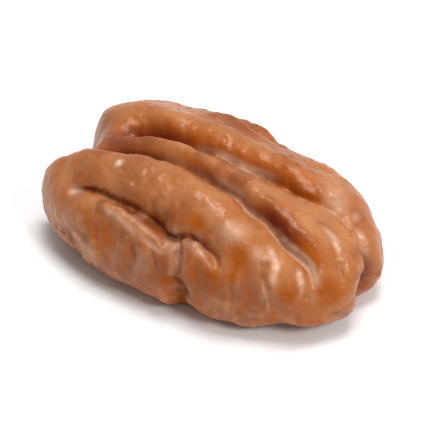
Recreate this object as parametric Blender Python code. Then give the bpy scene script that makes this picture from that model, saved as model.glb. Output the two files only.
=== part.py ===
"""A caramel-glazed pecan half, lying on its flat side with its ridged back up.

Metres, +Z up. X runs along the nut, Y across it, and the origin is under its middle, on the surface
that it lies on. The nut is one closed body. A smooth shell of the outer size comes first, as if a film
were stretched over the ropes of the nut, and the furrows between the ropes are then pressed into it.
A place on the shell is two angles in degrees: TURN goes round the Y axis, from the +X tip at 0 over the
top at 90 to the -X tip at 180, and SIDE leans from the middle plane towards +Y.
"""

import bmesh
import bpy
import numpy as np

MM = 0.001

# The shell: two superellipses, a dome above the waist and a flatter bowl below it.
LENGTH = 33.0 * MM
WIDTH = 20.0 * MM
HEIGHT = 12.2 * MM
WAIST_HEIGHT = 4.0 * MM
FLAT_CUT = 0.7 * MM
TAPER = -0.05
PLAN_POWER = 2.3
DOME_POWER = 2.15
BASE_POWER = 3.0

# The back half is a little lower than the front one, and its -X end is shorter and blunter.
BACK_LOWER = 0.7 * MM
BACK_SHORTER = 0.25
BACK_BLUNTER = 1.0

# Each furrow runs through places given as (turn, side, depth, reach towards -Y, reach towards +Y),
# in degrees and mm.
FURROWS = {
    "front_of_middle_ridge": [
        (205, -14, 0.0, 1.5, 2.0),
        (184, -14, 1.6, 2.0, 2.2),
        (160, -12, 1.9, 2.0, 1.8),
        (138, -10, 1.8, 1.9, 1.2),
        (120, -8, 1.7, 1.9, 1.1),
        (106, -7, 1.8, 2.1, 1.2),
        (94, -8, 1.9, 2.4, 1.2),
        (82, -12, 1.9, 2.7, 1.3),
        (70, -17, 1.9, 3.0, 1.5),
        (56, -22, 1.9, 3.4, 1.7),
        (42, -26, 1.6, 3.2, 1.7),
        (30, -28, 1.0, 2.4, 1.4),
        (16, -30, 0.0, 1.6, 1.2),
    ],
    "back_of_middle_ridge": [
        (134, -1, 0.0, 0.6, 0.9),
        (129, 3, 1.8, 0.8, 1.5),
        (120, 6, 2.1, 1.1, 2.0),
        (108, 9, 2.0, 1.6, 2.4),
        (93, 11, 1.7, 2.4, 2.4),
        (78, 11, 1.7, 2.8, 2.4),
        (62, 11, 1.6, 3.2, 2.3),
        (47, 12, 1.0, 2.6, 2.0),
        (36, 12, 0.8, 1.8, 1.6),
        (24, 11, 1.1, 1.4, 1.4),
        (12, 8, 1.5, 1.4, 1.7),
        (0, 4, 2.1, 1.7, 2.2),
        (-12, 1, 2.7, 2.2, 2.8),
        (-36, -2, 0.0, 2.0, 3.0),
    ],
    "front_flank": [
        (146, -40, 0.0, 0.8, 0.8),
        (137, -40, 0.6, 1.1, 1.1),
        (122, -43, 1.3, 1.7, 1.7),
        (104, -49, 1.5, 1.9, 1.9),
        (84, -57, 1.6, 1.6, 1.8),
        (76, -52, 1.4, 1.4, 1.5),
        (62, -54, 1.0, 1.3, 1.4),
        (44, -58, 0.0, 1.0, 1.0),
    ],
    "front_crease": [
        (82, -55, 0.0, 0.9, 0.9),
        (75, -60, 0.7, 1.0, 1.0),
        (66, -70, 0.8, 1.1, 1.1),
        (40, -79, 1.1, 1.4, 1.4),
        (-50, -76, 1.6, 1.8, 1.8),
        (-72, -60, 1.9, 2.1, 2.1),
        (-84, -42, 0.0, 1.6, 1.6),
    ],
    "back_flank": [
        (130, 44, 0.0, 1.0, 1.0),
        (112, 47, 1.0, 1.2, 0.9),
        (94, 48, 1.2, 1.3, 0.9),
        (80, 45, 0.9, 1.2, 0.9),
        (66, 40, 0.0, 1.0, 1.0),
    ],
    "low_back_flank": [
        (152, 56, 0.0, 1.0, 1.0),
        (128, 64, 1.3, 1.8, 1.3),
        (92, 66, 1.5, 1.6, 1.3),
        (74, 68, 1.4, 1.6, 1.3),
        (40, 58, 0.0, 1.0, 1.0),
    ],
    "back_crease": [
        (92, 66, 0.0, 1.0, 1.0),
        (60, 78, 1.2, 1.5, 1.5),
        (-40, 78, 1.4, 1.6, 1.6),
        (-75, 60, 0.0, 1.2, 1.2),
    ],
    "underside_channel": [
        (208, 0, 0.0, 2.0, 2.0),
        (235, 1, 1.9, 2.8, 2.8),
        (290, -1, 2.1, 2.8, 2.8),
        (332, 0, 0.0, 2.0, 2.0),
    ],
}
FLOOR_RADIUS = 0.3 * MM
WALL_POWER = 1.7
BLEND_POWER = 3.0

# Each swelling, or hollow with a height below zero, is (turn, side, height, radius), in degrees and mm.
SWELLINGS = [
    (157, 16, 1.7, 3.0),
    (157, 2, -0.6, 1.4),
    (141, -17, 0.3, 2.4),
    (124, -1, -0.7, 2.4),
    (117, 41, -0.3, 2.2),
    (96, 52, 0.75, 3.0),
    (62, 47, -0.3, 2.6),
    (60, 24, 0.3, 3.6),
    (32, 38, 0.65, 2.8),
    (-6, 19, 0.55, 3.4),
    (8, -28, 0.2, 4.0),
    (-28, -20, 0.2, 2.6),
    (-44, -36, -0.45, 2.0),
    (-57, -46, 0.1, 1.8),
    (-62, -60, -0.3, 1.6),
    (-87, -56, 0.2, 2.4),
    (-114, -60, -0.4, 2.6),
    (226, -43, -0.3, 2.4),
    (196, -30, -0.3, 3.0),
    (130, 40, -0.2, 2.0),
]
WAVE_HEIGHT = 0.16 * MM
WAVE_LENGTH = 4.6 * MM
WAVE_COUNT = 10
WAVE_SEED = 4

CELLS_ALONG = 38
CELLS_ACROSS = 44
CELLS_UP = 20

BROWN = (0.42, 0.16, 0.06, 1.0)
ROUGHNESS = 0.35


def smooth_step(value, low, high):
    share = np.clip((value - low) / (high - low), 0, 1)
    return share * share * (3 - 2 * share)


def direction(turn, side):
    """Unit vectors for angles in degrees."""
    turn, side = np.radians(turn), np.radians(side)
    return np.stack([np.cos(turn) * np.cos(side), np.sin(side), np.sin(turn) * np.cos(side)], -1)


def shell(unit):
    """Points of the smooth outer shell for unit vectors."""
    x, y, z = unit.T
    back = smooth_step(y, -0.3, 0.2)
    back_end = smooth_step(y, -0.25, 0.3) * smooth_step(-x, 0, 0.7)
    plan = (np.abs(x) ** PLAN_POWER + np.abs(y) ** PLAN_POWER) ** (1 / PLAN_POWER)
    power = np.where(z > 0, DOME_POWER + BACK_BLUNTER * back_end, BASE_POWER)
    reach = (plan**power + np.abs(z) ** power) ** (-1 / power)
    rise = np.where(z > 0, HEIGHT - BACK_LOWER * back - WAIST_HEIGHT, WAIST_HEIGHT + FLAT_CUT)
    shorter = BACK_SHORTER * smooth_step(reach * y, -0.45, 0.0) * smooth_step(-x, 0, 1)
    half_length = LENGTH / 2 * (1 - shorter)
    half_width = WIDTH / 2 * (1 + TAPER * reach * x)
    return np.stack([half_length * reach * x, half_width * reach * y, WAIST_HEIGHT + rise * reach * z], -1)


def outward(unit, step=1e-3):
    """Unit normals of the shell, from two small steps along it."""
    helper = np.where(np.abs(unit[:, 1:2]) < 0.9, [[0.0, 1.0, 0.0]], [[1.0, 0.0, 0.0]])
    first = np.cross(unit, helper)
    first /= np.linalg.norm(first, axis=1, keepdims=True)
    second = np.cross(unit, first)

    def moved(way):
        near = unit + step * way
        return shell(near / np.linalg.norm(near, axis=1, keepdims=True))

    normal = np.cross(moved(first) - moved(-first), moved(second) - moved(-second))
    return normal / np.linalg.norm(normal, axis=1, keepdims=True)


def smooth_path(places, steps=8):
    """A Catmull-Rom curve through places, as rows of the same values."""
    rows = np.array(places, float)
    rows = np.vstack([2 * rows[0] - rows[1], rows, 2 * rows[-1] - rows[-2]])
    share = (np.arange(steps) / steps)[:, None]
    found = []
    for a, b, c, d in zip(rows, rows[1:], rows[2:], rows[3:]):
        bend = (2 * a - 5 * b + 4 * c - d) * share**2 + (3 * b - a - 3 * c + d) * share**3
        found.append(0.5 * (2 * b + (c - a) * share + bend))
    return np.vstack(found + [rows[-2]])


def furrow_depth(points, places):
    """How deep one furrow is at each point of the shell."""
    path = smooth_path(places)
    line = shell(direction(path[:, 0], path[:, 1]))
    sizes = np.maximum(path[:, 2:], 0) * MM
    nearest = np.full(len(points), np.inf)
    depth = np.zeros(len(points))
    width = np.ones(len(points))
    for start, end, size_a, size_b in zip(line, line[1:], sizes, sizes[1:]):
        way = end - start
        share = np.clip((points - start) @ way / (way @ way), 0, 1)[:, None]
        gap = points - start - share * way
        distance = np.linalg.norm(gap, axis=1)
        size = size_a + (size_b - size_a) * share
        closer = distance < nearest
        nearest[closer] = distance[closer]
        depth[closer] = size[closer, 0]
        width[closer] = np.where(gap[:, 1] < 0, size[:, 1], size[:, 2])[closer]
    from_floor = np.hypot(nearest, FLOOR_RADIUS) - FLOOR_RADIUS
    inward = np.clip(1 - from_floor / width, 0, 1)
    return depth * (1 - (1 - inward**WALL_POWER) ** (1 / WALL_POWER))


def swelling(points):
    """How far the ropes bulge out at each point of the shell."""
    total = np.zeros(len(points))
    for turn, side, height, radius in SWELLINGS:
        middle = shell(direction(np.array([turn]), np.array([side])))
        distance = np.linalg.norm(points - middle, axis=1)
        total += height * MM * np.exp(-((distance / (radius * MM)) ** 2))
    return total


def waves(points):
    """A soft unevenness of the glaze, mostly between -1 and 1."""
    chance = np.random.default_rng(WAVE_SEED)
    total = np.zeros(len(points))
    for _ in range(WAVE_COUNT):
        way = chance.normal(size=3)
        way *= 2 * np.pi / WAVE_LENGTH / np.linalg.norm(way) * chance.uniform(0.7, 1.3)
        total += np.sin(points @ way + chance.uniform(0, 2 * np.pi))
    return total / np.sqrt(WAVE_COUNT)


def surface(unit):
    """Points of the nut for unit vectors."""
    points = shell(unit)
    pressed = sum(furrow_depth(points, places) ** BLEND_POWER for places in FURROWS.values())
    lift = swelling(points) + WAVE_HEIGHT * waves(points) - pressed ** (1 / BLEND_POWER)
    points = points + outward(unit) * lift[:, None]
    points[:, 2] = np.maximum(points[:, 2], 0)
    return points


def cube_of_cells():
    """A cube from -1 to 1 as one closed skin of square cells."""
    cells = bmesh.new()
    bmesh.ops.create_cube(cells, size=2)
    for axis, count in enumerate((CELLS_ALONG, CELLS_ACROSS, CELLS_UP)):
        edges = [e for e in cells.edges if abs(e.verts[0].co[axis] - e.verts[1].co[axis]) > 1]
        bmesh.ops.subdivide_edges(cells, edges=edges, cuts=count - 1, use_grid_fill=True)
    return cells


def make_nut():
    """The whole nut, with the middle of its length and width over the origin."""
    cells = cube_of_cells()
    cube = np.tan(np.array([vertex.co for vertex in cells.verts]) * np.pi / 4)
    points = surface(cube / np.linalg.norm(cube, axis=1, keepdims=True))
    points[:, :2] -= (points[:, :2].min(axis=0) + points[:, :2].max(axis=0)) / 2
    for vertex, place in zip(cells.verts, points):
        vertex.co = place
    bmesh.ops.recalc_face_normals(cells, faces=cells.faces)
    mesh = bpy.data.meshes.new("pecan_half")
    cells.to_mesh(mesh)
    cells.free()
    mesh.shade_smooth()
    return bpy.data.objects.new("pecan_half", mesh)


def glaze_material():
    material = bpy.data.materials.new("caramel_glaze")
    material.use_nodes = True
    shader = material.node_tree.nodes["Principled BSDF"]
    shader.inputs["Base Color"].default_value = BROWN
    shader.inputs["Roughness"].default_value = ROUGHNESS
    shader.inputs["Metallic"].default_value = 0.0
    return material


def main():
    for obj in list(bpy.data.objects):
        bpy.data.objects.remove(obj)
    nut = make_nut()
    nut.data.materials.append(glaze_material())
    bpy.context.scene.collection.objects.link(nut)


main()
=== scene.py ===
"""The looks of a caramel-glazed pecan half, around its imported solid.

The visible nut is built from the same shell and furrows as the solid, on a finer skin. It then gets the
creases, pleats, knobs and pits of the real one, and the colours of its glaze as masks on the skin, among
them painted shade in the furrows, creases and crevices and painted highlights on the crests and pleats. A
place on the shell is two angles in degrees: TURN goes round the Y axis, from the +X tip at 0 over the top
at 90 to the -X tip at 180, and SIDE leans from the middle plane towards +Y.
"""

import math

import bmesh
import bpy
import numpy as np
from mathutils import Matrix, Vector, noise


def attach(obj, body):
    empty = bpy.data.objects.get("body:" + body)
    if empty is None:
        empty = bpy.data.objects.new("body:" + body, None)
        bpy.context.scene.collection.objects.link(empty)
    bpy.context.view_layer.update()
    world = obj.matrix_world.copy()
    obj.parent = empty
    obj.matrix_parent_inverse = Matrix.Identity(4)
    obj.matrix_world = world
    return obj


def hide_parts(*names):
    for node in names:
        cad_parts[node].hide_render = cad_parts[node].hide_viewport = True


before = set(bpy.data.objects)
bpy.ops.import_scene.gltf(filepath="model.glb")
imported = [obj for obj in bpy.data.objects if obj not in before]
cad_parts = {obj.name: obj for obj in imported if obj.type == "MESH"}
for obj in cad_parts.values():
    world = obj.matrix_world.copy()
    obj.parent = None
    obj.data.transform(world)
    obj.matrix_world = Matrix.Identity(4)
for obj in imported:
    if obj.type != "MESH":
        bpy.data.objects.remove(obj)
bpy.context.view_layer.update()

MM = 0.001

# The shell, as in the solid.
LENGTH = 33.0 * MM
WIDTH = 20.0 * MM
HEIGHT = 12.2 * MM
WAIST_HEIGHT = 4.0 * MM
FLAT_CUT = 0.7 * MM
TAPER = -0.05
PLAN_POWER = 2.3
DOME_POWER = 2.15
BASE_POWER = 3.0
BACK_LOWER = 0.7 * MM
BACK_SHORTER = 0.25
BACK_BLUNTER = 1.0

# Where the back half becomes lower, blunter and shorter, from nothing to all of it: across the nut, and
# towards the -X tip. All are parts of the unit vector, but SHORTER_ACROSS is a share of the half width.
LOWER_ACROSS = (-0.3, 0.2)
BLUNTER_ACROSS = (-0.25, 0.3)
BLUNTER_TOWARDS_TIP = (0, 0.7)
SHORTER_ACROSS = (-0.45, 0.0)
SHORTER_TOWARDS_TIP = (0, 1)

# Each furrow runs through places given as (turn, side, depth, reach towards -Y, reach towards +Y),
# in degrees and mm. These are the solid's.
FURROWS = {
    "front_of_middle_ridge": [
        (205, -14, 0.0, 1.5, 2.0),
        (184, -14, 1.6, 2.0, 2.2),
        (160, -12, 1.9, 2.0, 1.8),
        (138, -10, 1.8, 1.9, 1.2),
        (120, -8, 1.7, 1.9, 1.1),
        (106, -7, 1.8, 2.1, 1.2),
        (94, -8, 1.9, 2.4, 1.2),
        (82, -12, 1.9, 2.7, 1.3),
        (70, -17, 1.9, 3.0, 1.5),
        (56, -22, 1.9, 3.4, 1.7),
        (42, -26, 1.6, 3.2, 1.7),
        (30, -28, 1.0, 2.4, 1.4),
        (16, -30, 0.0, 1.6, 1.2),
    ],
    "back_of_middle_ridge": [
        (134, -1, 0.0, 0.6, 0.9),
        (129, 3, 1.8, 0.8, 1.5),
        (120, 6, 2.1, 1.1, 2.0),
        (108, 9, 2.0, 1.6, 2.4),
        (93, 11, 1.7, 2.4, 2.4),
        (78, 11, 1.7, 2.8, 2.4),
        (62, 11, 1.6, 3.2, 2.3),
        (47, 12, 1.0, 2.6, 2.0),
        (36, 12, 0.8, 1.8, 1.6),
        (24, 11, 1.1, 1.4, 1.4),
        (12, 8, 1.5, 1.4, 1.7),
        (0, 4, 2.1, 1.7, 2.2),
        (-12, 1, 2.7, 2.2, 2.8),
        (-36, -2, 0.0, 2.0, 3.0),
    ],
    "front_flank": [
        (146, -40, 0.0, 0.8, 0.8),
        (137, -40, 0.6, 1.1, 1.1),
        (122, -43, 1.3, 1.7, 1.7),
        (104, -49, 1.5, 1.9, 1.9),
        (84, -57, 1.6, 1.6, 1.8),
        (76, -52, 1.4, 1.4, 1.5),
        (62, -54, 1.0, 1.3, 1.4),
        (44, -58, 0.0, 1.0, 1.0),
    ],
    "front_crease": [
        (82, -55, 0.0, 0.9, 0.9),
        (75, -60, 0.7, 1.0, 1.0),
        (66, -70, 0.8, 1.1, 1.1),
        (40, -79, 1.1, 1.4, 1.4),
        (-50, -76, 1.6, 1.8, 1.8),
        (-72, -60, 1.9, 2.1, 2.1),
        (-84, -42, 0.0, 1.6, 1.6),
    ],
    "back_flank": [
        (130, 44, 0.0, 1.0, 1.0),
        (112, 47, 1.0, 1.2, 0.9),
        (94, 48, 1.2, 1.3, 0.9),
        (80, 45, 0.9, 1.2, 0.9),
        (66, 40, 0.0, 1.0, 1.0),
    ],
    "low_back_flank": [
        (152, 56, 0.0, 1.0, 1.0),
        (128, 64, 1.3, 1.8, 1.3),
        (92, 66, 1.5, 1.6, 1.3),
        (74, 68, 1.4, 1.6, 1.3),
        (40, 58, 0.0, 1.0, 1.0),
    ],
    "back_crease": [
        (92, 66, 0.0, 1.0, 1.0),
        (60, 78, 1.2, 1.5, 1.5),
        (-40, 78, 1.4, 1.6, 1.6),
        (-75, 60, 0.0, 1.2, 1.2),
    ],
    "underside_channel": [
        (208, 0, 0.0, 2.0, 2.0),
        (235, 1, 1.9, 2.8, 2.8),
        (290, -1, 2.1, 2.8, 2.8),
        (332, 0, 0.0, 2.0, 2.0),
    ],
}

# How round a furrow's floor is, how steep its walls are, and how furrows merge where they meet.
FLOOR_RADIUS = 0.3 * MM
WALL_POWER = 1.7
BLEND_POWER = 3.0

# Each of the solid's swellings is (turn, side, height, radius), in degrees and mm.
SWELLINGS = [
    (157, 16, 1.7, 3.0),
    (157, 2, -0.6, 1.4),
    (141, -17, 0.3, 2.4),
    (124, -1, -0.7, 2.4),
    (117, 41, -0.3, 2.2),
    (96, 52, 0.75, 3.0),
    (62, 47, -0.3, 2.6),
    (60, 24, 0.3, 3.6),
    (32, 38, 0.65, 2.8),
    (-6, 19, 0.55, 3.4),
    (8, -28, 0.2, 4.0),
    (-28, -20, 0.2, 2.6),
    (-44, -36, -0.45, 2.0),
    (-57, -46, 0.1, 1.8),
    (-62, -60, -0.3, 1.6),
    (-87, -56, 0.2, 2.4),
    (-114, -60, -0.4, 2.6),
    (226, -43, -0.3, 2.4),
    (196, -30, -0.3, 3.0),
    (130, 40, -0.2, 2.0),
]

# The soft unevenness over the whole nut, also the solid's. The waves differ in density by WAVE_DENSITY.
WAVE_HEIGHT = 0.16 * MM
WAVE_LENGTH = 4.6 * MM
WAVE_DENSITY = (0.7, 1.3)
WAVE_COUNT = 10
WAVE_SEED = 4

# Fine creases in the skin, given like the furrows.
CREASES = {
    "front_flank": [
        (140, -40, 0.0, 0.3, 0.3),
        (130, -41, 0.3, 0.35, 0.3),
        (104, -49, 0.3, 0.35, 0.3),
        (84, -57, 0.3, 0.35, 0.3),
        (76, -52, 0.3, 0.3, 0.3),
        (62, -54, 0.25, 0.3, 0.3),
        (46, -57, 0.0, 0.3, 0.3),
    ],
    "front_crack": [
        (82, -56, 0.0, 0.25, 0.25),
        (75, -60, 0.25, 0.3, 0.3),
        (66, -70, 0.1, 0.3, 0.3),
        (40, -79, 0.1, 0.4, 0.4),
        (-20, -80, 0.0, 0.3, 0.3),
    ],
    "front_of_middle_ridge": [
        (150, -11, 0.0, 0.3, 0.3),
        (120, -8, 0.3, 0.35, 0.35),
        (94, -8, 0.3, 0.35, 0.35),
        (76, -15, 0.25, 0.35, 0.35),
        (60, -21, 0.0, 0.3, 0.3),
    ],
    "back_of_middle_ridge": [
        (132, 1, 0.0, 0.3, 0.3),
        (120, 6, 0.3, 0.35, 0.35),
        (93, 11, 0.3, 0.35, 0.35),
        (62, 11, 0.3, 0.35, 0.35),
        (40, 12, 0.0, 0.3, 0.3),
    ],
    "right_shoulder": [
        (44, -40, 0.0, 0.4, 0.4),
        (26, -46, 0.25, 0.6, 0.5),
        (7, -49, 0.3, 0.6, 0.5),
        (-18, -47, 0.0, 0.5, 0.5),
    ],
    "right_flank": [
        (40, -58, 0.0, 0.5, 0.5),
        (26, -60, 0.25, 0.6, 0.6),
        (0, -63, 0.25, 0.6, 0.6),
        (-25, -62, 0.0, 0.5, 0.5),
    ],
    "low_right_flank": [
        (62, -60, 0.0, 0.5, 0.5),
        (50, -66, 0.25, 0.6, 0.6),
        (10, -74, 0.25, 0.7, 0.7),
        (-30, -72, 0.0, 0.5, 0.5),
    ],
    "middle_flank": [
        (112, -58, 0.0, 0.5, 0.5),
        (114, -68, 0.3, 0.7, 0.7),
        (130, -80, 0.3, 0.8, 0.8),
        (200, -80, 0.0, 0.6, 0.6),
    ],
    "short_middle_flank": [
        (96, -64, 0.0, 0.4, 0.4),
        (92, -72, 0.3, 0.6, 0.6),
        (85, -84, 0.25, 0.7, 0.7),
    ],
    "left_flank": [
        (136, -54, 0.0, 0.5, 0.5),
        (142, -62, 0.25, 0.6, 0.6),
        (165, -70, 0.2, 0.6, 0.6),
        (190, -68, 0.0, 0.5, 0.5),
    ],
    "left_end": [
        (160, -46, 0.0, 0.5, 0.5),
        (170, -53, 0.25, 0.6, 0.6),
        (190, -56, 0.2, 0.6, 0.6),
        (205, -54, 0.0, 0.5, 0.5),
    ],
    "right_end": [
        (34, -11, 0.0, 0.5, 0.5),
        (26, -14, 0.2, 0.6, 0.6),
        (14, -17, 0.2, 0.7, 0.6),
        (4, -22, 0.0, 0.5, 0.5),
    ],
    "right_end_back": [
        (30, 1, 0.0, 0.4, 0.4),
        (23, -2, 0.2, 0.5, 0.5),
        (12, -3, 0.25, 0.6, 0.5),
        (0, -4, 0.0, 0.5, 0.5),
    ],
    "back_rope": [
        (48, 16, 0.0, 0.4, 0.4),
        (38, 19, 0.2, 0.5, 0.5),
        (28, 20, 0.2, 0.5, 0.5),
        (16, 22, 0.0, 0.4, 0.4),
    ],
    "behind_back_rope": [
        (120, 40, 0.0, 0.4, 0.4),
        (104, 44, 0.3, 0.4, 0.4),
        (84, 43, 0.3, 0.4, 0.4),
        (70, 38, 0.0, 0.4, 0.4),
    ],
}

# Raised pleats of the skin, given like the furrows, with their height for a depth.
PLEATS = {
    "front_lip": [
        (130, -46, 0.0, 0.7, 0.5),
        (116, -51, 0.35, 0.8, 0.6),
        (104, -56, 0.5, 0.8, 0.7),
        (92, -61, 0.5, 0.8, 0.7),
        (84, -64, 0.0, 0.7, 0.5),
    ],
    "front_lip_right": [
        (75, -55, 0.0, 0.5, 0.4),
        (69, -56, 0.4, 0.8, 0.5),
        (60, -58, 0.3, 0.8, 0.5),
        (50, -60, 0.0, 0.5, 0.4),
    ],
    "right_shoulder_first": [
        (46, -33, 0.0, 0.5, 0.5),
        (40, -39, 0.28, 0.7, 0.7),
        (30, -44, 0.2, 0.7, 0.7),
        (18, -52, 0.0, 0.5, 0.5),
    ],
    "right_shoulder_second": [
        (32, -29, 0.0, 0.5, 0.5),
        (25, -35, 0.28, 0.6, 0.6),
        (14, -40, 0.2, 0.6, 0.6),
        (0, -46, 0.0, 0.5, 0.5),
    ],
    "knuckle": [
        (44, -2, 0.0, 0.5, 0.5),
        (36, -4, 0.22, 0.6, 0.6),
        (26, -7, 0.15, 0.6, 0.6),
        (16, -10, 0.0, 0.5, 0.5),
    ],
}

# Knobs, and pits with a height below zero, as (turn, side, height, radius).
KNOBS = [
    (122, -50, 0.14, 0.7),
    (114, -55, 0.16, 0.6),
    (107, -57, -0.1, 0.5),
    (101, -61, 0.18, 0.7),
    (94, -63, -0.1, 0.5),
    (88, -66, 0.16, 0.6),
    (78, -62, 0.2, 0.6),
    (71, -54, 0.2, 0.5),
    (98, -31, 0.12, 0.9),
    (84, -32, 0.14, 0.8),
    (66, -36, 0.16, 0.9),
    (48, -22, 0.12, 0.7),
    (92, 24, 0.12, 0.8),
    (78, 24, 0.12, 0.7),
    (64, 22, 0.14, 0.8),
    (52, 20, 0.12, 0.7),
    (40, -12, 0.15, 0.8),
    (18, 14, 0.15, 0.8),
    (116, -24, 0.2, 0.45),
    (114, -28, -0.25, 0.25),
    (90, -48, -0.1, 0.9),
    (76, -43, -0.15, 0.9),
    (52, -42, -0.15, 0.9),
    (93, -40, -0.1, 0.8),
    (13, -35, -0.3, 0.35),
    (10, -51, -0.25, 0.35),
    (141, -41, -0.2, 0.5),
]

# Spots of each colour, as (turn, side, strength, radius), in degrees and mm: amber where the glaze is
# thick (two are painted shade), a dull bloom on it (in places a painted highlight), plum-coloured painted
# shade in crevices, darker brown (one is painted shade), painted shade, and pale, mostly painted
# highlights.
AMBER_SPOTS = [
    (76, -43, 1.2, 0.9),
    # This spot and the next are painted shade on the front rope's face that looks down.
    (86, -44, 0.4, 0.9),
    (105, -46, 0.5, 1.4),
    (51, -45, 1.2, 1.1),
    (15, -41, 1.4, 1.1),
    (11, -26, 1.4, 1.2),
    (61, -62, 1.3, 1.0),
    (36, -67, 1.4, 1.3),
    (65, -80, 1.5, 1.4),
    (78, -74, 1.3, 1.0),
    (110, -70, 1.2, 1.1),
    (98, -66, 0.8, 0.7),
    (136, -62, 1.2, 1.1),
    (38, -55, 0.8, 1.0),
    (122, -58, 0.7, 0.8),
    (3, -36, 0.6, 1.2),
    (148, -24, 0.5, 1.4),
]
# Bloom spots; those on the front rope's crest, the knuckle and the left flank are painted highlights.
BLOOM_AND_HIGHLIGHT_SPOTS = [
    (44, 16, 0.7, 0.9),
    (139, -41, 1.0, 0.5),
    (81, -60, 0.9, 0.8),
    (70, -54, 0.6, 0.6),
    (65, -37, 0.5, 1.0),
    (37, -5, 0.6, 0.8),
    (24, -26, 0.7, 0.45),
    (13, -33, 0.35, 0.4),
    (12, -51, 0.3, 0.4),
    (105, -78, 0.3, 1.2),
    (168, -50, 0.6, 0.6),
    (146, -54, 0.6, 0.5),
    (160, -74, 0.5, 0.6),
]
# Plum-coloured painted shade in the crevices at the right end and at the start of the back furrow.
PLUM_SHADE_SPOTS = [
    (22, 4, 0.6, 0.6),
    (14, 6, 0.9, 0.7),
    (6, 7, 1.0, 0.7),
    (-2, 5, 1.0, 0.8),
    (-12, 3, 0.9, 1.0),
    (134, -3, 0.6, 1.0),
    (126, -5, 0.4, 1.3),
]
# Darker brown spots; the one at (86, -43) is painted shade on the front rope's face that looks down.
BROWN_SPOTS = [
    (108, -38, 0.7, 2.0),
    (86, -43, 1.1, 1.6),
    (128, -32, 0.6, 1.8),
    (108, -18, 0.5, 2.4),
    (62, -44, 0.6, 1.4),
    (118, -3, 1.2, 1.8),
    (94, 40, 1.2, 2.4),
    (70, 42, 0.9, 2.4),
    (145, 8, 0.6, 1.6),
    (14, -56, 1.2, 1.6),
    (40, -50, 0.5, 1.6),
    (62, -76, 0.9, 1.6),
    (29, -63, 0.6, 1.2),
]
# Painted shade in spots.
PAINTED_SHADE_SPOTS = [
    (62, -80, 0.35, 1.3),
    (78, -74, 0.2, 0.8),
    (36, -67, 0.3, 1.2),
    (-2, 4, 0.3, 0.8),
    (15, -26, 0.2, 1.0),
    (51, -46, 0.2, 0.8),
    (88, -44, 0.25, 1.2),
    (13, -52, 0.15, 1.0),
    (73, -54, 0.25, 0.45),
    (44, 16, 0.25, 0.9),
]
# Pale spots, mostly painted highlights, with pale rims by the pits and the crack.
PALE_AND_HIGHLIGHT_SPOTS = [
    (116, -25, 1.3, 0.34),
    (141, -40, 0.6, 0.4),
    (78, -63, 0.3, 0.4),
    (33, 19, 0.4, 0.5),
    (76, -31, 0.2, 0.8),
    (62, -36, 0.4, 1.0),
    (47, -39, 0.35, 0.7),
    (46, 23, 0.25, 0.9),
]

# Painted highlights in streaks along the tops of the pleats, given like the furrows, with their strength
# for a depth.
PAINTED_HIGHLIGHT_STREAKS = {
    "front_lip": [
        (126, -49, 0.0, 0.3, 0.3),
        (119, -53, 0.6, 0.3, 0.3),
        (106, -59, 0.5, 0.3, 0.3),
        (96, -64, 0.7, 0.35, 0.35),
        (88, -66, 0.5, 0.3, 0.3),
        (80, -67, 0.0, 0.3, 0.3),
    ],
    "front_lip_right": [
        (76, -56, 0.0, 0.3, 0.3),
        (71, -55, 0.2, 0.4, 0.4),
        (64, -57, 0.4, 0.35, 0.35),
        (54, -59, 0.0, 0.3, 0.3),
    ],
    "right_shoulder_first": [
        (52, -31, 0.0, 0.4, 0.4),
        (46, -34, 1.0, 0.5, 0.4),
        (39, -37, 1.1, 0.5, 0.4),
        (32, -41, 0.8, 0.4, 0.35),
        (24, -44, 0.0, 0.3, 0.3),
    ],
    "right_shoulder_second": [
        (34, -31, 0.0, 0.3, 0.3),
        (30, -33, 0.9, 0.35, 0.35),
        (24, -35, 0.9, 0.35, 0.35),
        (17, -37, 0.3, 0.3, 0.3),
        (10, -39, 0.0, 0.3, 0.3),
    ],
    "knuckle": [
        (42, -4, 0.0, 0.3, 0.3),
        (37, -5, 0.8, 0.4, 0.4),
        (31, -7, 0.7, 0.4, 0.4),
        (26, -9, 0.0, 0.3, 0.3),
    ],
    "right_end": [
        (28, 16, 0.0, 0.3, 0.3),
        (22, 14, 0.8, 0.35, 0.35),
        (16, 12, 0.5, 0.35, 0.35),
        (11, 10, 0.0, 0.3, 0.3),
    ],
}

# Colour up the +Y wall of a furrow, as (furrow, strength, width, turns), and in a strip along a furrow or
# a crease, as (name, strength, distances across it, turns). Widths and distances are in mm. Distances and
# turns are each (from, to, softness of both ends).
AMBER_WALLS = [
    ("front_of_middle_ridge", 1.0, 2.8, (24, 64, 8)),
    ("front_of_middle_ridge", 1.0, 1.1, (64, 102, 8)),
    ("front_of_middle_ridge", 0.45, 1.2, (100, 150, 8)),
    ("back_of_middle_ridge", 1.0, 2.4, (50, 134, 6)),
    ("front_flank", 0.5, 1.4, (55, 142, 8)),
]
# Painted shade up the +Y walls of the furrows.
PAINTED_SHADE_WALLS = [
    ("back_of_middle_ridge", 0.9, 1.6, (100, 133, 4)),
    ("back_of_middle_ridge", 0.45, 1.3, (52, 100, 4)),
    ("front_of_middle_ridge", 0.5, 0.6, (104, 150, 6)),
    ("front_of_middle_ridge", 1.0, 2.6, (42, 64, 7)),
    ("front_of_middle_ridge", 0.5, 0.9, (66, 92, 6)),
    ("front_flank", 1.0, 0.5, (98, 138, 6)),
    ("front_flank", 0.1, 0.35, (56, 98, 6)),
]
# Painted shade in a strip along the front flank's furrow.
PAINTED_SHADE_STRIPS = [
    ("front_flank", 0.65, (-0.8, 0.0, 0.25), (94, 116, 6)),
]
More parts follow.
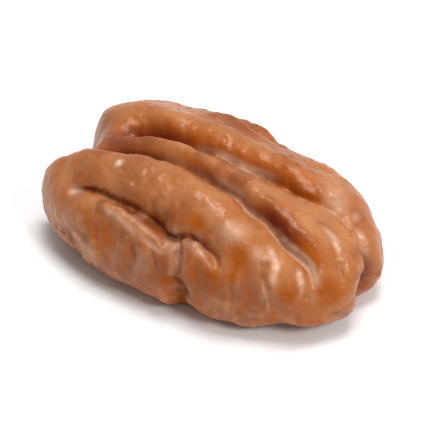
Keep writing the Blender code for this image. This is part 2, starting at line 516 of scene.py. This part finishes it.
# Bloom in strips: along the front furrow of the middle ridge mostly a painted reflection, along the front
# crease painted light that lifts its shade, and a dull bloom along the other two.
BLOOM_AND_HIGHLIGHT_STRIPS = [
    ("front_of_middle_ridge", 1.3, (-0.2, 0.62, 0.2), (20, 52, 4)),
    ("front_of_middle_ridge", 0.85, (-0.3, 0.4, 0.12), (50, 70, 4)),
    ("front_of_middle_ridge", 0.8, (-0.3, 0.6, 0.2), (68, 84, 4)),
    ("front_of_middle_ridge", 0.35, (-0.2, 0.4, 0.2), (84, 104, 4)),
    ("back_of_middle_ridge", 0.8, (-0.45, 0.5, 0.2), (70, 98, 4)),
    ("front_flank", 0.35, (-1.0, -0.35, 0.35), (52, 88, 8)),
    ("front_crease", 0.6, (-0.3, 0.3, 0.15), (62, 90, 6)),
]
PALE_STRIPS = [
    ("right_shoulder", 0.3, (-0.5, -0.3, 0.12), (0, 30, 6)),
]

# The furrows and creases that the rows above name.
COLOURED_LINES = (
    "front_of_middle_ridge",
    "back_of_middle_ridge",
    "front_flank",
    "front_crease",
    "right_shoulder",
)

# Where the colour of a wall sets in, in mm from the furrow's floor, and at what share of its width it
# starts to fade.
WALL_FOOT = (-0.25, 0.1)
WALL_FULL = 0.25

# Where the nut counts as low down, by the side in degrees and by how far the unit vector points down, and
# how much calmer the colours are on the underside.
LOW_SIDE = (46, 62)
LOW_DROP = (-0.2, 0.17)
UNDERSIDE_DROP = (0.65, 0.85)
UNDERSIDE_CALM = 0.6

# Strengths of the colours that follow a noise, the ridges, the pleats or the side, each with the two values
# between which it sets in.
AMBER_LOW_DOWN = 0.8
PATCH_EDGE = (0.0, 0.5)
RIDGE_GAP_EDGE = (0.1, 0.5)
BROWN_PATCHES = 0.8
BROWN_EDGE = (0.1, 0.6)
LOW_BROWN_EDGE = (-0.1, 0.4)
BROWN_FLANKS = 0.8
BROWN_SIDE = (60, 78)
# Painted highlights on the ridges.
PAINTED_HIGHLIGHT_RIDGES = 0.12
PAINTED_HIGHLIGHT_RIDGE_EDGE = (0.15, 0.7)
# Pale on the pleats, partly painted highlights.
PALE_PLEATS = 0.15
PALE_PLEAT_EDGE = (0.1, 0.4)

# The bloom on both sides of the front crease: its strength, its (from, to, softness) in mm from the
# crease's floor, and the lowest side that it reaches.
CREASE_SIDES_BLOOM = 0.4
CREASE_SIDES = (0.3, 0.75, 0.2)
CREASE_SIDES_LOWEST = -80

# The soft noises, as (length of a lump in mm, number of the noise, octaves).
CLOUDS = {
    "wander_along": (2.6, 1, 1),
    "wander_across": (2.6, 2, 1),
    "wander_up": (2.6, 3, 1),
    "patches": (2.4, 4, 3),
    "bloom_and_highlight": (1.1, 5, 2),
    "lumps": (1.8, 6, 3),
    "small_lumps": (0.7, 7, 2),
    "ridges": (1.3, 8, 2),
    "brown": (3.0, 9, 3),
    "low_brown": (1.5, 10, 2),
    "streaks": (0.9, 11, 2),
}
CLOUDS_APART = 31.7
CLOUD_ROUGHNESS = 0.8
OCTAVE_RATIO = 2.0

# How a noise makes a colour uneven, as (middle, how much of the noise is added, lowest, highest).
UNEVEN = {
    "patches": (1.0, 0.8, 0.3, 1.5),
    "bloom_and_highlight": (0.9, 0.5, 0.0, 1.0),
    "streaks": (0.8, 0.8, 0.3, 1.0),
}

# How far the edges of the furrows wander.
WANDER = 0.35 * MM

# The small relief in mm. The upright ridges set in between these sides and towards the ends. Their noise is
# stretched across and upwards, as it is read from points that are squeezed together that way.
LUMP_HEIGHT = 0.12
SMALL_LUMP_HEIGHT = 0.035
RIDGE_HEIGHT = 0.2
RIDGE_SIDE = (36, 56)
RIDGE_END = (0.8, 0.95)
RIDGE_SQUEEZE = (1, 0.35, 0.35)

# How deep a crease is where its painted shade is full.
CREASE_SHADE_FULL = 0.5 * MM

# The cells of the fine skin along the three edges of the cube that it starts from.
CELLS_ALONG = 176
CELLS_ACROSS = 132
CELLS_UP = 72

# The glaze's colours. It is crest or body where no mask shows.
CREST = (0.455, 0.178, 0.067)
BODY = (0.38, 0.119, 0.034)
BROWN = (0.26, 0.072, 0.022)
AMBER = (0.35, 0.074, 0.001)
# The colour of the painted shade in the furrows, the creases and the spots.
DEEP_SHADE = (0.12, 0.010, 0.001)
# A dull bloom, in places painted highlights and reflections.
BLOOM_AND_HIGHLIGHT = (0.50, 0.28, 0.18)
# Pale, mostly painted highlights.
PALE_AND_HIGHLIGHT = (0.73, 0.48, 0.34)
# Plum-coloured painted shade.
PLUM_SHADE = (0.20, 0.045, 0.025)

# Lengths of the lumps in the glaze's own noises, and the depth and strength of its grain.
BROAD_LUMPS = 2.8 * MM
SMALL_LUMPS = 0.7 * MM
SPECKLES = 0.25 * MM
GRAIN = 0.4 * MM
GRAIN_DEPTH = 0.05 * MM
GRAIN_STRENGTH = 0.6
PLAIN_DETAIL = 2.0
FINE_DETAIL = 3.0

# How noises and masks become shares of a colour or a roughness, as (from low, from high, to low, to high).
CREST_SHARE = (0.35, 0.65, 0.0, 1.0)
SPECKLE_SHARE = (0.55, 0.75, 0.0, 0.3)
AMBER_SHARE = (0.3, 0.6, 0.75, 1.2)
BLOOM_AND_HIGHLIGHT_SHARE = (0.35, 0.6, 0.75, 1.0)
# The share of painted shade in the creases.
CREASE_SHADE_SHARE = (0.3, 1.0, 0.0, 0.6)
ROUGHNESS = (0.3, 0.7, 0.32, 0.5)
GLAZE_FINISH = {
    "Specular IOR Level": 0.33,
    "Specular Tint": (1.0, 0.71, 0.45, 1.0),
    "Coat Weight": 0.18,
    "Coat Roughness": 0.18,
    "Subsurface Weight": 0.12,
    "Subsurface Radius": (1.0, 0.35, 0.12),
    "Subsurface Scale": 0.8 * MM,
}

FLOOR_SIZE = 4.0
FLOOR_FINISH = {
    "Base Color": (0.92, 0.92, 0.92, 1),
    "Roughness": 0.9,
    "Specular IOR Level": 0.1,
}

# The lamps in metres and watts, as (place, size, power). The sky's strength grows from the front to the
# back, as (from low, from high, to low, to high).
LAMPS = {
    "key_from_above": ((0.0, 0.05, 0.51), 0.24, 1.95),
    "side_from_right": ((0.34, -0.10, 0.34), 0.12, 1.0),
}
SKY_STRENGTH = (-0.9, 0.5, 0.2, 0.56)

# The photo's angle of view in degrees, the camera's distance, the width that it sees and where it aims.
VIEW_AZIMUTH = 31.5
VIEW_ELEVATION = 42
VIEW_DISTANCE = 0.45
VIEW_WIDTH = 39.5 * MM
AIM_HEIGHT = 4.5 * MM
SENSOR_WIDTH = 36.0
NEAREST_SEEN = 0.01


def smooth_step(value, low, high):
    """0 below low, 1 above high and a smooth rise between them."""
    share = np.clip((value - low) / (high - low), 0, 1)
    return share * share * (3 - 2 * share)


def direction(turn, side):
    """Unit vectors for angles in degrees."""
    turn, side = np.radians(turn), np.radians(side)
    return np.stack([np.cos(turn) * np.cos(side), np.sin(side), np.sin(turn) * np.cos(side)], -1)


def shell(unit):
    """Points of the smooth outer shell for unit vectors.

    Its back half is lower, and at -X also shorter and blunter.
    """
    x, y, z = unit.T
    back = smooth_step(y, *LOWER_ACROSS)
    back_end = smooth_step(y, *BLUNTER_ACROSS) * smooth_step(-x, *BLUNTER_TOWARDS_TIP)
    plan = (np.abs(x) ** PLAN_POWER + np.abs(y) ** PLAN_POWER) ** (1 / PLAN_POWER)
    power = np.where(z > 0, DOME_POWER + BACK_BLUNTER * back_end, BASE_POWER)
    reach = (plan**power + np.abs(z) ** power) ** (-1 / power)
    rise = np.where(z > 0, HEIGHT - BACK_LOWER * back - WAIST_HEIGHT, WAIST_HEIGHT + FLAT_CUT)
    shorter = BACK_SHORTER * smooth_step(reach * y, *SHORTER_ACROSS) * smooth_step(-x, *SHORTER_TOWARDS_TIP)
    half_length = LENGTH / 2 * (1 - shorter)
    half_width = WIDTH / 2 * (1 + TAPER * reach * x)
    return np.stack([half_length * reach * x, half_width * reach * y, WAIST_HEIGHT + rise * reach * z], -1)


def outward(unit, step=1e-3):
    """Unit normals of the shell, from two small steps along it."""
    helper = np.where(np.abs(unit[:, 1:2]) < 0.9, [[0.0, 1.0, 0.0]], [[1.0, 0.0, 0.0]])
    first = np.cross(unit, helper)
    first /= np.linalg.norm(first, axis=1, keepdims=True)
    second = np.cross(unit, first)

    def moved(way):
        near = unit + step * way
        return shell(near / np.linalg.norm(near, axis=1, keepdims=True))

    normal = np.cross(moved(first) - moved(-first), moved(second) - moved(-second))
    return normal / np.linalg.norm(normal, axis=1, keepdims=True)


def smooth_path(places, steps=8):
    """A Catmull-Rom curve through places, as rows of the same values."""
    rows = np.array(places, float)
    rows = np.vstack([2 * rows[0] - rows[1], rows, 2 * rows[-1] - rows[-2]])
    share = (np.arange(steps) / steps)[:, None]
    found = []
    for a, b, c, d in zip(rows, rows[1:], rows[2:], rows[3:]):
        bend = (2 * a - 5 * b + 4 * c - d) * share**2 + (3 * b - a - 3 * c + d) * share**3
        found.append(0.5 * (2 * b + (c - a) * share + bend))
    return np.vstack(found + [rows[-2]])


def across(points, places):
    """How far each point lies from a furrow's floor, positive towards +Y, and its depth and reach there."""
    path = smooth_path(places)
    line = shell(direction(path[:, 0], path[:, 1]))
    sizes = np.maximum(path[:, 2:], 0) * MM
    nearest = np.full(len(points), np.inf)
    depth = np.zeros(len(points))
    reach = np.ones(len(points))
    for start, end, size_a, size_b in zip(line, line[1:], sizes, sizes[1:]):
        way = end - start
        share = np.clip((points - start) @ way / (way @ way), 0, 1)[:, None]
        gap = points - start - share * way
        distance = np.linalg.norm(gap, axis=1)
        size = size_a + (size_b - size_a) * share
        closer = distance < np.abs(nearest)
        nearest[closer] = np.where(gap[:, 1] < 0, -distance, distance)[closer]
        depth[closer] = size[closer, 0]
        reach[closer] = np.where(gap[:, 1] < 0, size[:, 1], size[:, 2])[closer]
    return nearest, depth, reach


def furrow_depth(points, places):
    """How deep one furrow is at each point of the shell."""
    distance, depth, reach = across(points, places)
    from_floor = np.hypot(distance, FLOOR_RADIUS) - FLOOR_RADIUS
    inward = np.clip(1 - from_floor / reach, 0, 1)
    return depth * (1 - (1 - inward**WALL_POWER) ** (1 / WALL_POWER))


def bulges(points, places):
    """The sum of soft round bulges, each given as (turn, side, height, radius)."""
    total = np.zeros(len(points))
    for turn, side, height, radius in places:
        middle = shell(direction(np.array([turn]), np.array([side])))
        distance = np.linalg.norm(points - middle, axis=1)
        total += height * np.exp(-((distance / (radius * MM)) ** 2))
    return total


def waves(points):
    """A soft unevenness of the glaze, mostly between -1 and 1."""
    chance = np.random.default_rng(WAVE_SEED)
    total = np.zeros(len(points))
    for _ in range(WAVE_COUNT):
        way = chance.normal(size=3)
        way *= 2 * np.pi / WAVE_LENGTH / np.linalg.norm(way) * chance.uniform(*WAVE_DENSITY)
        total += np.sin(points @ way + chance.uniform(0, 2 * np.pi))
    return total / np.sqrt(WAVE_COUNT)


def cloud(points, name):
    """The soft noise of that name in CLOUDS, between about -1 and 1."""
    length, number, octaves = CLOUDS[name]
    places = points / (length * MM) + CLOUDS_APART * number
    return np.array([noise.fractal(Vector(p), CLOUD_ROUGHNESS, OCTAVE_RATIO, octaves) for p in places])


def uneven(values, name):
    """The share of a colour that a noise's values leave, within its limits in UNEVEN."""
    middle, added, lowest, highest = UNEVEN[name]
    return np.clip(middle + added * values, lowest, highest)


def wandered(points):
    """The points moved about a little, so that what is measured from them has uneven edges."""
    moved = [cloud(points, name) for name in ("wander_along", "wander_across", "wander_up")]
    return points + WANDER * np.stack(moved, -1)


def band(value, low, high, soft):
    """1 where value is between low and high, with soft ends."""
    return smooth_step(value, low - soft, low + soft) * (1 - smooth_step(value, high - soft, high + soft))


def wall(distance, width):
    """1 at a furrow's floor, fading out over width up its +Y wall."""
    return smooth_step(distance, *WALL_FOOT) * (1 - smooth_step(distance, WALL_FULL * width, width))


class Skin:
    """What the colours are worked out from at each point of the skin. Raised heights and gaps are in mm."""

    def __init__(self, points, unit, ridges, raised):
        self.points = points
        self.ridges = ridges
        self.raised = raised / MM
        self.turn = np.degrees(np.arctan2(unit[:, 2], unit[:, 0]))
        self.side = np.degrees(np.arcsin(unit[:, 1]))
        lines = {**CREASES, **FURROWS}
        self.gaps = {name: across(points, lines[name])[0] / MM for name in COLOURED_LINES}
        drop = -unit[:, 2]
        low_down = np.clip(smooth_step(np.abs(self.side), *LOW_SIDE) + smooth_step(drop, *LOW_DROP), 0, 1)
        self.low_down = low_down * (1 - UNDERSIDE_CALM * smooth_step(drop, *UNDERSIDE_DROP))

    def walls(self, rows):
        """The strongest colour up the walls of the furrows."""
        return np.maximum.reduce(
            [
                strength * wall(self.gaps[name], width) * band(self.turn, *turns)
                for name, strength, width, turns in rows
            ]
        )

    def strips(self, rows):
        """The strongest colour in strips along the furrows and creases."""
        return np.maximum.reduce(
            [
                strength * band(self.gaps[name], *distances) * band(self.turn, *turns)
                for name, strength, distances, turns in rows
            ]
        )


def amber_mask(skin):
    """Where the glaze is thick: in the furrows, in spots (two of them painted shade), and in patches and
    between ridges low down.
    """
    patches = cloud(skin.points, "patches")
    return np.maximum.reduce(
        [
            skin.walls(AMBER_WALLS),
            bulges(skin.points, AMBER_SPOTS) * uneven(patches, "patches"),
            AMBER_LOW_DOWN * skin.low_down * smooth_step(patches, *PATCH_EDGE),
            AMBER_LOW_DOWN * skin.low_down * smooth_step(-skin.ridges, *RIDGE_GAP_EDGE),
        ]
    )


def painted_shade_mask(skin):
    """Painted shade: up the walls of the furrows, in a strip along the front flank's furrow and in spots.
    """
    spots = bulges(skin.points, PAINTED_SHADE_SPOTS)
    return np.maximum.reduce([skin.walls(PAINTED_SHADE_WALLS), skin.strips(PAINTED_SHADE_STRIPS), spots])


def bloom_and_highlight_mask(skin):
    """Where a dull bloom lies, and painted highlights and reflections: along the furrows, beside the front
    crease and in spots.
    """
    upper = (skin.side > CREASE_SIDES_LOWEST) & (skin.turn > 0)
    beside = CREASE_SIDES_BLOOM * band(np.abs(skin.gaps["front_crease"]), *CREASE_SIDES) * upper
    spots = bulges(skin.points, BLOOM_AND_HIGHLIGHT_SPOTS)
    bloom_and_highlight = np.maximum.reduce([skin.strips(BLOOM_AND_HIGHLIGHT_STRIPS), beside, spots])
    return bloom_and_highlight * uneven(cloud(skin.points, "bloom_and_highlight"), "bloom_and_highlight")


def brown_mask(skin):
    """Where the glaze is a darker brown: in spots, one painted shade on the front rope's face that looks
    down, in patches, more low down, and towards the bottom of the flanks.
    """
    return np.maximum.reduce(
        [
            bulges(skin.points, BROWN_SPOTS),
            BROWN_PATCHES * smooth_step(cloud(skin.points, "brown"), *BROWN_EDGE),
            skin.low_down * smooth_step(cloud(skin.points, "low_brown"), *LOW_BROWN_EDGE),
            BROWN_FLANKS * smooth_step(np.abs(skin.side), *BROWN_SIDE),
        ]
    )


def pale_and_highlight_mask(skin):
    """Where the glaze is pale, mostly painted highlights: in spots and streaks, by the right shoulder, on
    ridges and on pleats.
    """
    streaks = sum(furrow_depth(skin.points, places) for places in PAINTED_HIGHLIGHT_STREAKS.values()) / MM
    return np.maximum.reduce(
        [
            bulges(skin.points, PALE_AND_HIGHLIGHT_SPOTS),
            streaks * uneven(cloud(skin.points, "streaks"), "streaks"),
            skin.strips(PALE_STRIPS),
            PAINTED_HIGHLIGHT_RIDGES * smooth_step(skin.ridges, *PAINTED_HIGHLIGHT_RIDGE_EDGE),
            PALE_PLEATS * smooth_step(skin.raised, *PALE_PLEAT_EDGE),
        ]
    )


def glaze_masks(skin):
    """How much each colour of the glaze shows at each point, from 0 to 1."""
    masks = {
        "amber": amber_mask(skin),
        "painted_shade": painted_shade_mask(skin),
        "bloom_and_highlight": bloom_and_highlight_mask(skin),
        "brown": brown_mask(skin),
        "pale_and_highlight": pale_and_highlight_mask(skin),
        "plum_shade": bulges(skin.points, PLUM_SHADE_SPOTS),
    }
    return {name: np.clip(value, 0, 1) for name, value in masks.items()}


def flank_ridges(points, unit):
    """Upright ridges on the flanks and the ends, between about -1 and 1."""
    side = np.degrees(np.arcsin(unit[:, 1]))
    towards_end = smooth_step(np.abs(unit[:, 0]), *RIDGE_END)
    flanks = np.clip(smooth_step(np.abs(side), *RIDGE_SIDE) + towards_end, 0, 1)
    return flanks * cloud(points * RIDGE_SQUEEZE, "ridges")


def relief(points, ridges):
    """The small lumps of the skin in mm."""
    lumps = LUMP_HEIGHT * cloud(points, "lumps") + SMALL_LUMP_HEIGHT * cloud(points, "small_lumps")
    return lumps + RIDGE_HEIGHT * ridges + bulges(points, KNOBS)


def cube_of_cells():
    """A cube from -1 to 1 as one closed skin of square cells."""
    cells = bmesh.new()
    bmesh.ops.create_cube(cells, size=2)
    for axis, count in enumerate((CELLS_ALONG, CELLS_ACROSS, CELLS_UP)):
        edges = [e for e in cells.edges if abs(e.verts[0].co[axis] - e.verts[1].co[axis]) > 1]
        bmesh.ops.subdivide_edges(cells, edges=edges, cuts=count - 1, use_grid_fill=True)
    bmesh.ops.recalc_face_normals(cells, faces=cells.faces)
    return cells


def place_skin(mesh, points):
    """Moves the skin to points, and lays flat what would go below the floor."""
    points[:, 2] = np.maximum(points[:, 2], 0)
    mesh.vertices.foreach_set("co", points.ravel())
    mesh.update()


def make_nut():
    """The visible nut: the solid's form, then the fine relief along its true normals, then the masks."""
    mesh = bpy.data.meshes.new("glazed_pecan")
    cells = cube_of_cells()
    cells.to_mesh(mesh)
    cells.free()
    cube = np.zeros(len(mesh.vertices) * 3)
    mesh.vertices.foreach_get("co", cube)
    cube = np.tan(cube.reshape(-1, 3) * np.pi / 4)
    unit = cube / np.linalg.norm(cube, axis=1, keepdims=True)
    on_shell = shell(unit)
    measured = wandered(on_shell)

    pressed = sum(furrow_depth(measured, places) ** BLEND_POWER for places in FURROWS.values())
    lift = MM * bulges(on_shell, SWELLINGS) + WAVE_HEIGHT * waves(on_shell) - pressed ** (1 / BLEND_POWER)
    points = on_shell + outward(unit) * lift[:, None]
    points[:, :2] -= (points[:, :2].min(axis=0) + points[:, :2].max(axis=0)) / 2
    place_skin(mesh, points)

    normals = np.zeros(len(mesh.vertices) * 3)
    mesh.vertices.foreach_get("normal", normals)
    ridges = flank_ridges(on_shell, unit)
    creased = sum(furrow_depth(measured, places) for places in CREASES.values())
    raised = sum(furrow_depth(measured, places) for places in PLEATS.values())
    points += normals.reshape(-1, 3) * (relief(on_shell, ridges) * MM + raised - creased)[:, None]
    place_skin(mesh, points)
    mesh.shade_smooth()

    masks = glaze_masks(Skin(measured, unit, ridges, raised))
    # Painted shade in the creases, by their depth.
    masks["crease"] = np.clip(creased / CREASE_SHADE_FULL, 0, 1)
    for name, value in masks.items():
        mesh.attributes.new(name, "FLOAT", "POINT").data.foreach_set("value", value)
    nut = bpy.data.objects.new("glazed_pecan", mesh)
    bpy.context.scene.collection.objects.link(nut)
    return nut


def map_range(tree, value, limits):
    """Maps a socket's values by limits given as (from low, from high, to low, to high)."""
    node = tree.nodes.new("ShaderNodeMapRange")
    for socket, number in zip(("From Min", "From Max", "To Min", "To Max"), limits):
        node.inputs[socket].default_value = number
    tree.links.new(value, node.inputs["Value"])
    return node.outputs["Result"]


class Graph:
    """Short ways to add nodes to one new material."""

    def __init__(self, name):
        self.material = bpy.data.materials.new(name)
        self.material.use_nodes = True
        self.nodes = self.material.node_tree.nodes
        self.shader = self.nodes["Principled BSDF"]

    def link(self, source, target):
        self.material.node_tree.links.new(source, target)

    def set_constants(self, values):
        """Sets constants of the shader by the names of its sockets."""
        for name, value in values.items():
            self.shader.inputs[name].default_value = value

    def mask(self, name):
        """The value of one of the skin's masks."""
        node = self.nodes.new("ShaderNodeAttribute")
        node.attribute_name = name
        return node.outputs["Fac"]

    def noise(self, length, detail=PLAIN_DETAIL):
        """Noise between 0 and 1 with lumps of the given length, on the nut's own coordinates."""
        place = self.nodes.new("ShaderNodeTexCoord")
        node = self.nodes.new("ShaderNodeTexNoise")
        node.inputs["Scale"].default_value = 1 / length
        node.inputs["Detail"].default_value = detail
        self.link(place.outputs["Object"], node.inputs["Vector"])
        return node.outputs["Fac"]

    def spread(self, value, limits):
        """Maps a socket's values as map_range does."""
        return map_range(self.material.node_tree, value, limits)

    def times(self, first, second):
        """The product of two sockets, kept between 0 and 1."""
        node = self.nodes.new("ShaderNodeMath")
        node.operation = "MULTIPLY"
        node.use_clamp = True
        self.link(first, node.inputs[0])
        self.link(second, node.inputs[1])
        return node.outputs["Value"]

    def mix(self, share, first, second):
        """First where share is 0 and second where it is 1, each a colour or a socket."""
        node = self.nodes.new("ShaderNodeMix")
        node.data_type = "RGBA"
        self.link(share, node.inputs["Factor"])
        sockets = [socket for socket in node.inputs if socket.type == "RGBA"]
        for socket, colour in zip(sockets, (first, second)):
            if isinstance(colour, tuple):
                socket.default_value = (*colour, 1)
            else:
                self.link(colour, socket)
        return next(socket for socket in node.outputs if socket.type == "RGBA")


def glaze_material():
    """The glaze: its colours, painted shade and painted highlights laid over each other from the body to
    the creases, and a fine grain.
    """
    graph = Graph("caramel_glaze_look")
    small = graph.noise(SMALL_LUMPS, FINE_DETAIL)
    colour = graph.mix(graph.spread(graph.noise(BROAD_LUMPS), CREST_SHARE), BODY, CREST)
    colour = graph.mix(graph.mask("brown"), colour, BROWN)
    colour = graph.mix(graph.spread(graph.noise(SPECKLES), SPECKLE_SHARE), colour, BODY)
    amber = graph.times(graph.mask("amber"), graph.spread(small, AMBER_SHARE))
    colour = graph.mix(amber, colour, AMBER)
    # Painted shade up the furrow walls, in a strip and in spots.
    colour = graph.mix(graph.mask("painted_shade"), colour, DEEP_SHADE)
    # Bloom, with painted highlights and reflections.
    bloom_and_highlight = graph.times(graph.mask("bloom_and_highlight"), graph.spread(small, BLOOM_AND_HIGHLIGHT_SHARE))
    colour = graph.mix(bloom_and_highlight, colour, BLOOM_AND_HIGHLIGHT)
    # Pale, mostly painted highlights.
    colour = graph.mix(graph.mask("pale_and_highlight"), colour, PALE_AND_HIGHLIGHT)
    # Plum-coloured painted shade in the crevices.
    colour = graph.mix(graph.mask("plum_shade"), colour, PLUM_SHADE)
    # Painted shade in the creases.
    colour = graph.mix(graph.spread(graph.mask("crease"), CREASE_SHADE_SHARE), colour, DEEP_SHADE)
    graph.link(colour, graph.shader.inputs["Base Color"])
    graph.link(graph.spread(small, ROUGHNESS), graph.shader.inputs["Roughness"])
    graph.set_constants(GLAZE_FINISH)
    bump = graph.nodes.new("ShaderNodeBump")
    bump.inputs["Strength"].default_value = GRAIN_STRENGTH
    bump.inputs["Distance"].default_value = GRAIN_DEPTH
    graph.link(graph.noise(GRAIN, FINE_DETAIL), bump.inputs["Height"])
    graph.link(bump.outputs["Normal"], graph.shader.inputs["Normal"])
    return graph.material


def make_floor():
    """The white floor, which is stage and not part of the object."""
    bpy.ops.mesh.primitive_plane_add(size=FLOOR_SIZE, location=(0, 0, 0))
    floor = bpy.context.object
    floor.name = "floor"
    graph = Graph("floor_white")
    graph.set_constants(FLOOR_FINISH)
    floor.data.materials.append(graph.material)


def area_light(name, place, size, power):
    """A square lamp that shines at the nut."""
    lamp = bpy.data.lights.new(name, "AREA")
    lamp.size = size
    lamp.energy = power
    holder = bpy.data.objects.new(name, lamp)
    holder.location = place
    holder.rotation_euler = (-Vector(place)).to_track_quat("-Z", "Y").to_euler()
    bpy.context.scene.collection.objects.link(holder)


def make_light():
    """A white sky that is brighter at the back, and the lamps."""
    world = bpy.data.worlds.new("studio")
    world.use_nodes = True
    tree = world.node_tree
    background = tree.nodes["Background"]
    background.inputs["Color"].default_value = (1, 1, 1, 1)
    coordinates = tree.nodes.new("ShaderNodeTexCoord")
    parts = tree.nodes.new("ShaderNodeSeparateXYZ")
    tree.links.new(coordinates.outputs["Generated"], parts.inputs["Vector"])
    tree.links.new(map_range(tree, parts.outputs["Y"], SKY_STRENGTH), background.inputs["Strength"])
    bpy.context.scene.world = world
    for name, (place, size, power) in LAMPS.items():
        area_light(name, place, size, power)


def make_camera():
    """The camera at the photo's angle, seen from above the front right."""
    azimuth, elevation = math.radians(VIEW_AZIMUTH), math.radians(VIEW_ELEVATION)
    level = math.cos(elevation)
    back = Vector((math.sin(azimuth) * level, -math.cos(azimuth) * level, math.sin(elevation)))
    data = bpy.data.cameras.new("camera")
    data.sensor_width = SENSOR_WIDTH
    data.lens = SENSOR_WIDTH * VIEW_DISTANCE / VIEW_WIDTH
    data.clip_start = NEAREST_SEEN
    camera = bpy.data.objects.new("camera", data)
    camera.location = Vector((0, 0, AIM_HEIGHT)) + back * VIEW_DISTANCE
    camera.rotation_euler = (-back).to_track_quat("-Z", "Y").to_euler()
    bpy.context.scene.collection.objects.link(camera)
    bpy.context.scene.camera = camera


make_camera()
make_floor()
make_light()
nut = make_nut()
nut.data.materials.append(glaze_material())
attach(nut, "root")
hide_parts("pecan_half")
bpy.context.scene.view_settings.view_transform = "Standard"
